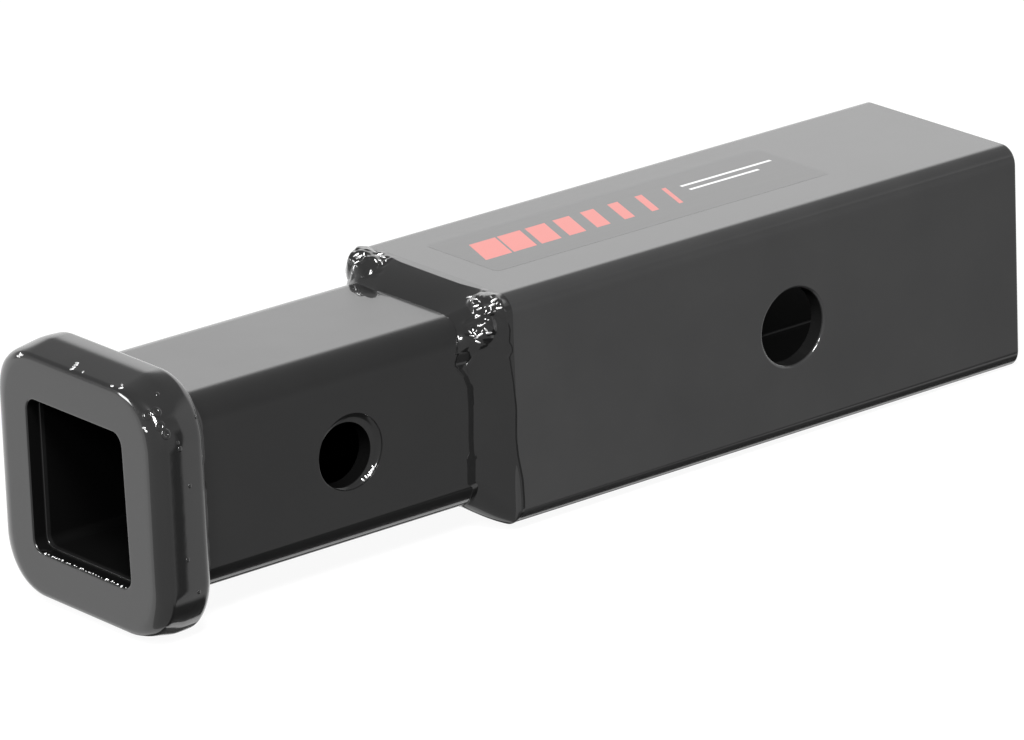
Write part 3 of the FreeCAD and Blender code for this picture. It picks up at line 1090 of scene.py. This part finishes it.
def ripple(here, station, share, half_long, half_wide, degrees, height):
    """The lift of one soft ripple or dent."""
    onward, upward, distance = surface_offsets(here, nearest_spot(station, share))
    a, b = turned(onward, upward, degrees)
    near = distance < 3 * max(half_long, half_wide)
    return np.where(near, height * np.exp(-(a / half_long) ** 2 * 1.4 - (b / half_wide) ** 2 * 1.4), 0)


lift = np.zeros(weld_x.shape)
for lump in LUMPS:
    lift = swell(lift, lump)
on_slope = np.zeros(weld_x.shape)
on_slope[:, SLOPE_FIRST - 1:SLOPE_FIRST + SLOPE_STEPS + 4] = 1
rise_share = np.clip(weld_height / STEP_RISE, 0, 1)
lift *= np.clip((rise_share - 0.08) / 0.4, 0, 1) ** 0.8
beyond = np.clip((weld_x - along_line(EDGE_LINE, stations)[:, None] + 2.2) / 3.0, 0, 1)
lift *= 1 - 0.75 * beyond
swollen = points + slant * (lift * on_slope)[..., None]
fine = np.zeros(weld_x.shape)
for values in RIPPLES:
    fine += ripple(swollen, *values)
chance = np.random.default_rng(GRAIN_SEED)
for station_low, station_high, share_low, share_high, count, strength in GRAINS:
    for one in range(count):
        station = chance.uniform(station_low, station_high)
        share = chance.uniform(share_low, share_high)
        size = chance.uniform(0.55, 1.0)
        fine += ripple(swollen, station, share, size * 1.3, size * 0.8, chance.uniform(0, 180),
                       chance.uniform(-0.2, 0.26) * size * strength)
swollen = swollen + slant * (fine * on_slope)[..., None]
print("highest lump in mm:", round(float(lift.max()), 2), "ripples:", len(RIPPLES))


# %% Joint weld: its mesh
def closed_skin(name, rows, material):
    """A closed skin from a grid of points in mm that joins up both ways."""
    count, columns = rows.shape[:2]
    faces = []
    for row in range(count):
        below = row * columns
        above = ((row + 1) % count) * columns
        for column in range(columns):
            after = (column + 1) % columns
            faces.append((below + column, below + after, above + after, above + column))
    mesh = bpy.data.meshes.new(name)
    mesh.from_pydata((rows.reshape(-1, 3) * MM).tolist(), [], faces)
    mesh.materials.append(material)
    piece = bpy.data.objects.new(name, mesh)
    bpy.context.scene.collection.objects.link(piece)
    face_outward(piece)
    mesh.polygons.foreach_set("use_smooth", [True] * len(faces))
    mesh.set_sharp_from_angle(angle=math.radians(50))
    return piece


joint = closed_skin("joint_bead", swollen, weld_coat)
print("joint weld points:", len(joint.data.vertices))

# %% Collar weld
BEAD_LEG = 3.2 * MM
BEAD_RISE = 1.35 * MM


def collar_bead_outline():
    """A small hollow-faced bead behind the collar."""
    back = COLLAR_REAR_X - 1.0 * MM
    points = [(back, -0.2 * MM), (back, BEAD_RISE)]
    for step in range(1, 13):
        share = step / 12
        height = BEAD_RISE * (1 - share) ** 1.6 + 0.15 * MM * (1 - share)
        points.append((back + (BEAD_LEG + 1.0 * MM) * share, height))
    points.append((back + BEAD_LEG + 1.0 * MM, -0.2 * MM))
    return as_shares(points, 3.0 * MM)


collar_bead = make_ring("collar_bead", collar_bead_outline(), (RECEIVER_HALF, RECEIVER_CORNER),
                        (RECEIVER_HALF + 3.0 * MM, RECEIVER_CORNER + 3.0 * MM), 500, weld_coat,
                        uneven=0.0006, scale=160.0, seed=3.0)
even_shading(collar_bead)
print("collar weld points:", len(collar_bead.data.vertices))

# %% [markdown]
# A thin glossy film is stuck on the top of the shank. Its print here is a plain pattern: a red
# block that breaks up into ever thinner slanted bars, and two thin white rules beside it. The
# pattern is worked out from the place on the part, in mm, so it needs no picture. Each mask is 1
# where there is ink: a distance is compared with half a width over a small, soft border.

# %% Label
INK_BORDER = 0.05
BARS_FROM = -64.0
BARS_TO = -6.5
BARS_MIDDLE = 2.4
BARS_HALF_HEIGHT = 5.2
BARS_PERIOD = 7.6
BARS_SLANT = 0.36
RULES = ((5.9, -4.0, 21.5), (2.9, -4.0, 15.5))


def within(tree, value, low, high):
    """1 where a number lies between two others, with a soft border."""
    rise = soft_step(tree, value, low - INK_BORDER, low + INK_BORDER)
    fall = soft_step(tree, value, high - INK_BORDER, high + INK_BORDER)
    return math_node(tree, "MULTIPLY", rise, math_node(tree, "SUBTRACT", 1.0, fall))


def bar_mask(tree, x, y):
    """Slanted bars that get thinner towards +X."""
    slid = math_node(tree, "ADD", x, math_node(tree, "MULTIPLY", y, -BARS_SLANT))
    phase = math_node(tree, "FRACT", math_node(tree, "DIVIDE", math_node(
        tree, "SUBTRACT", slid, BARS_FROM), BARS_PERIOD))
    share = math_node(tree, "DIVIDE", math_node(tree, "SUBTRACT", slid, BARS_FROM), BARS_TO - BARS_FROM)
    width = math_node(tree, "SUBTRACT", 1.05, math_node(tree, "MULTIPLY", share, 0.95))
    over = math_node(tree, "SUBTRACT", phase, width)
    bars = math_node(tree, "SUBTRACT", 1.0, soft_step(tree, over, -0.01, 0.01))
    tall = within(tree, y, BARS_MIDDLE - BARS_HALF_HEIGHT, BARS_MIDDLE + BARS_HALF_HEIGHT)
    long = within(tree, slid, BARS_FROM, BARS_TO)
    return math_node(tree, "MULTIPLY", bars, math_node(tree, "MULTIPLY", tall, long))


def rule_mask(tree, x, y):
    """Two thin rules."""
    total = None
    for middle, start, end in RULES:
        one = math_node(tree, "MULTIPLY", within(tree, y, middle - 0.45, middle + 0.45),
                        within(tree, x, start, end))
        total = one if total is None else math_node(tree, "MAXIMUM", total, one)
    return total


def label_film():
    """Dark gloss film with red and white ink."""
    material = bpy.data.materials.new("label_film")
    material.use_nodes = True
    tree = material.node_tree
    tree.nodes.clear()
    place = add_node(tree, "ShaderNodeTexCoord").outputs["Object"]
    in_mm = add_node(tree, "ShaderNodeVectorMath", {0: place, "Scale": 1 / MM}, operation="SCALE")
    x, y, z = add_node(tree, "ShaderNodeSeparateXYZ", {0: in_mm.outputs[0]}).outputs
    streaks = add_node(tree, "ShaderNodeMapping", {"Vector": place, "Scale": (40.0, 900.0, 1.0)})
    streak = add_node(tree, "ShaderNodeTexNoise", {"Vector": streaks.outputs[0], "Scale": 1.0, "Detail": 3.0})
    film = add_node(tree, "ShaderNodeMix", {0: streak.outputs[0], 6: (0.004, 0.004, 0.004, 1),
                                            7: (0.014, 0.014, 0.014, 1)}, data_type="RGBA")
    red = add_node(tree, "ShaderNodeMix", {0: bar_mask(tree, x, y), 6: film.outputs[2],
                                           7: (0.45, 0.05, 0.03, 1)}, data_type="RGBA")
    inked = add_node(tree, "ShaderNodeMix", {0: rule_mask(tree, x, y), 6: red.outputs[2],
                                             7: (0.62, 0.62, 0.62, 1)}, data_type="RGBA")
    bend = bump_layer(tree, place, 90.0, 0.0000025)
    skin = add_node(tree, "ShaderNodeBump", {"Height": streak.outputs[0], "Distance": 0.0000012, "Normal": bend})
    shader = add_node(tree, "ShaderNodeBsdfPrincipled", {
        "Base Color": inked.outputs[2],
        "Roughness": 0.32,
        "Specular IOR Level": 0.2,
        "Normal": bend,
        "Coat Weight": 1.0,
        "Coat Roughness": 0.06,
        "Coat IOR": 1.46,
        "Coat Normal": skin.outputs[0],
    })
    add_node(tree, "ShaderNodeOutputMaterial", {"Surface": shader.outputs[0]})
    return material


def make_label():
    """A very thin sheet with round corners on the top of the shank."""
    corner = 1.2 * MM
    low, high = SHANK_HALF - 0.05 * MM, SHANK_HALF + 0.015 * MM
    ring = []
    for side_x, side_y, first in ((1, 1, 0), (0, 1, 90), (0, 0, 180), (1, 0, 270)):
        centre_x = label_high.x - corner if side_x else label_low.x + corner
        centre_y = label_high.y - corner if side_y else label_low.y + corner
        for turn in np.radians(np.linspace(first, first + 90, 9)):
            ring.append((centre_x + corner * math.cos(turn), centre_y + corner * math.sin(turn)))
    count = len(ring)
    faces = [tuple(reversed(range(count))), tuple(range(count, 2 * count))]
    faces += [(k, (k + 1) % count, count + (k + 1) % count, count + k) for k in range(count)]
    mesh = bpy.data.meshes.new("label_sheet")
    mesh.from_pydata([(x, y, z) for z in (low, high) for x, y in ring], [], faces)
    mesh.materials.append(label_film())
    piece = bpy.data.objects.new("label_sheet", mesh)
    bpy.context.scene.collection.objects.link(piece)
    return piece


label = make_label()
print("label in mm:", [round(v / MM, 1) for v in (*label_low, *label_high)])

# %% [markdown]
# Small specks of bright metal are set down as painted highlights: they stand in for the rows of
# white glints. On the collar they line the lower edge of the opening and dot the upper border of the
# front plane, and they dot the lumps of the joint weld. Where gas escaped from the melt there are
# small craters with a raised rim, and pimples where it gathered. A second geometry tree sets down
# either kind on given points, each turned to the surface, with sizes that vary by a fixed seed. A
# speck is a flat bead and a crater is a thin ring.

# %% Geometry tree: beads and craters on points
BEAD_INPUTS = {
    "Points": "NodeSocketObject",
    "Size": "NodeSocketFloat",
    "Smallest": "NodeSocketFloat",
    "Flatness": "NodeSocketFloat",
    "Stretch": "NodeSocketFloat",
    "Crater": "NodeSocketBool",
    "Seed": "NodeSocketInt",
    "Material": "NodeSocketMaterial",
}


def make_bead_tree():
    """The tree that sets small beads or craters on the points of a helper mesh."""
    tree, given = new_tree("beads_on_points", BEAD_INPUTS)
    spots = add_node(tree, "GeometryNodeObjectInfo", {"Object": given["Points"]}).outputs["Geometry"]
    ball = add_node(tree, "GeometryNodeMeshIcoSphere", {"Radius": 1.0, "Subdivisions": 4}).outputs["Mesh"]
    circle = add_node(tree, "GeometryNodeCurvePrimitiveCircle", {"Resolution": 32, "Radius": 0.68}).outputs[0]
    thin = add_node(tree, "GeometryNodeCurvePrimitiveCircle", {"Resolution": 16, "Radius": 0.32}).outputs[0]
    rim = add_node(tree, "GeometryNodeCurveToMesh", {"Curve": circle, "Profile Curve": thin}).outputs[0]
    shape = add_node(tree, "GeometryNodeSwitch", {"Switch": given["Crater"], "False": ball, "True": rim},
                     input_type="GEOMETRY").outputs[0]
    out = add_node(tree, "GeometryNodeInputNamedAttribute", {"Name": "out"}, data_type="FLOAT_VECTOR").outputs[0]
    turn = add_node(tree, "FunctionNodeAlignRotationToVector", {"Vector": out}, axis="Z").outputs[0]
    angle = add_node(tree, "FunctionNodeRandomValue", {2: 0.0, 3: 3.1, "Seed": given["Seed"]}, data_type="FLOAT")
    spin = add_node(tree, "FunctionNodeAxisAngleToRotation", {"Axis": (0, 0, 1), "Angle": angle.outputs[1]})
    turn = add_node(tree, "FunctionNodeRotateRotation", {"Rotation": turn, "Rotate By": spin.outputs[0]},
                    rotation_space="LOCAL").outputs[0]
    share = add_node(tree, "FunctionNodeRandomValue", {2: given["Smallest"], 3: 1.0, "Seed": given["Seed"]},
                     data_type="FLOAT")
    size = math_node(tree, "MULTIPLY", share.outputs[1], given["Size"])
    low = math_node(tree, "MULTIPLY", size, given["Flatness"])
    long = math_node(tree, "MULTIPLY", size, math_node(tree, "ADD", 1.0, given["Stretch"]))
    narrow = math_node(tree, "DIVIDE", size, math_node(tree, "ADD", 1.0, given["Stretch"]))
    scale = add_node(tree, "ShaderNodeCombineXYZ", {0: long, 1: narrow, 2: low})
    placed = add_node(tree, "GeometryNodeInstanceOnPoints", {
        "Points": spots, "Instance": shape, "Rotation": turn, "Scale": scale.outputs[0]})
    finish_tree(tree, placed.outputs[0], given["Material"])
    return tree


bead_tree = make_bead_tree()


def set_down(name, spots, size, smallest, flatness, material, crater=False, seed=5, stretch=0.0):
    """Beads or craters on (place, outward direction) pairs, as one piece."""
    mesh = bpy.data.meshes.new(name + "_points")
    mesh.from_pydata([tuple(place) for place, out in spots], [], [])
    outward = mesh.attributes.new("out", "FLOAT_VECTOR", "POINT")
    outward.data.foreach_set("vector", [value for place, out in spots for value in out])
    helper = bpy.data.objects.new(name + "_points", mesh)
    bpy.context.scene.collection.objects.link(helper)
    piece = grown(name, bead_tree, {"Points": helper, "Size": size, "Smallest": smallest, "Flatness": flatness,
                                    "Stretch": stretch, "Crater": crater, "Seed": seed, "Material": material})
    bpy.data.objects.remove(helper)
    reach = COLLAR_HALF - 0.01 * MM
    for vertex in piece.data.vertices:
        vertex.co.x = max(vertex.co.x, MOUTH_X + 0.01 * MM)
        vertex.co.y = min(max(vertex.co.y, -reach), reach)
        vertex.co.z = min(max(vertex.co.z, -reach), reach)
    return piece


print("tree:", bead_tree.name, "with", len(bead_tree.nodes), "nodes")

# %% Beads and craters
bpy.context.view_layer.update()


def along_edge(half_from, half_to, height, inward, count, jitter, seed):
    """Points along a straight edge of the collar's front, spread a little unevenly."""
    chance = np.random.default_rng(seed)
    spots = []
    for share in np.linspace(0, 1, count):
        y = half_from + (half_to - half_from) * share + chance.uniform(-jitter, jitter)
        z = height + chance.uniform(-0.12, 0.12) * MM
        spots.append((Vector((MOUTH_X + inward, y, z)), Vector((-0.6, 0, 0.8))))
    return spots


def bare_steel():
    """Bright metal for small specks that are painted highlights."""
    material = bpy.data.materials.new("bare_steel")
    material.use_nodes = True
    surface = material.node_tree.nodes["Principled BSDF"]
    surface.inputs["Base Color"].default_value = (0.85, 0.85, 0.85, 1)
    surface.inputs["Metallic"].default_value = 1.0
    surface.inputs["Roughness"].default_value = 0.45
    return material


# Painted highlights: the bright metal specks below stand in for white glints on edges and welds.
glint_speck_metal = bare_steel()
EDGE_SPOTS = along_edge(13.8 * MM, -14.8 * MM, -(OPENING_HALF - 0.05 * MM), 0.35 * MM, 34,
                        0.5 * MM, 2)
edge_chips = set_down("edge_chips", EDGE_SPOTS, 0.28 * MM, 0.3, 0.8, glint_speck_metal, stretch=0.4)
border_z = COLLAR_HALF - 2.9 * MM
BORDER_SPOTS = along_edge(15.0 * MM, -6.0 * MM, border_z, 0.3 * MM, 18, 0.7 * MM, 4)
border_chips = set_down("border_chips", BORDER_SPOTS, 0.2 * MM, 0.3, 0.7, glint_speck_metal, seed=9)


def spots_on(piece, places):
    """Where picture places meet a piece, as (place, outward direction) pairs."""
    found = [picked(piece, *place) for place in places]
    return [spot for spot in found if spot]


# Picture places for the painted highlight specks on the collar's corner, the hole's rim and the weld, and for the
# craters and pimples in the coat.
GLINT_PLACES = ((18, 356), (20, 355), (22, 355), (72, 369), (74, 367), (76, 365), (77, 363), (122, 385),
               (121, 388), (144, 428), (146, 431), (83, 372), (112, 386))
CRATER_PLACES = ((147, 415), (156, 412), (160, 426), (166, 434))
PIMPLE_PLACES = ((178, 443), (180, 449), (196, 417), (201, 421), (157, 394), (190, 486), (188, 560),
                 (199, 592))
HOLE_PLACES = ((373, 467), (372, 470), (370, 473), (369, 475), (366, 477), (363, 480))
WELD_PLACES = (
    (356, 255), (358, 258), (360, 256), (357, 262), (354, 268), (364, 254), (375, 252), (377, 256),
    (380, 254), (383, 257), (379, 260), (386, 260), (382, 263), (376, 261), (352, 273), (469, 297),
    (471, 300), (473, 303), (476, 306), (479, 309), (475, 299), (479, 301), (491, 297), (494, 300),
    (492, 305), (497, 303), (499, 308), (495, 311), (486, 311), (470, 332), (473, 330), (475, 334),
    (482, 331), (486, 330), (480, 335), (476, 338), (478, 342), (489, 333), (472, 336))
# Specks of bright metal as painted highlights on the collar's corner, the pin hole's rim and the weld's lumps; the
# craters and pimples are relief.
corner_chips = set_down("corner_chips", spots_on(collar, GLINT_PLACES), 0.42 * MM, 0.6, 0.5, glint_speck_metal,
                        stretch=0.4)
craters = set_down("collar_craters", spots_on(collar, CRATER_PLACES), 1.2 * MM, 0.75, 0.45,
                   collar_coat, crater=True)
pimples = set_down("collar_pimples", spots_on(collar, PIMPLE_PLACES), 0.6 * MM, 0.5, 0.35, collar_coat)
hole_chips = set_down("hole_chips", spots_on(receiver, HOLE_PLACES), 0.4 * MM, 0.5, 0.5, glint_speck_metal,
                      stretch=0.5)
weld_chips = set_down("weld_chips", spots_on(joint, WELD_PLACES), 0.46 * MM, 0.4, 0.4, glint_speck_metal,
                      seed=3, stretch=0.7)
print("craters:", len(CRATER_PLACES), "pimples:", len(PIMPLE_PLACES))

# %% [markdown]
# Each new piece rides on the part's one body and stands for the piece that it replaces.
# The specks and craters replace nothing and only add to the coat.

# %% Pieces handed to the frame
PIECES = (
    (shank, "coated_tube", ("shank_tube",)),
    (receiver, "coated_tube", ("receiver_tube",)),
    (collar, "coated_collar", ("collar", "collar_seam_weld")),
    (joint, "coated_weld", ("joint_weld",)),
    (collar_bead, "coated_weld", ("collar_weld",)),
    (label, "label_film", ("label",)),
    (edge_chips, "coated_collar", ()),
    (border_chips, "coated_collar", ()),
    (corner_chips, "coated_collar", ()),
    (craters, "coated_collar", ()),
    (pimples, "coated_collar", ()),
    (hole_chips, "coated_tube", ()),
    (weld_chips, "coated_weld", ()),
)
for piece, slot_name, replaced in PIECES:
    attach(piece, "root")
    if replaced:
        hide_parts(*replaced)

# %% [markdown]
# Last, the view transform is set to Standard, so that colours come out as they are written.

# %% Finish
bpy.context.scene.view_settings.view_transform = "Standard"
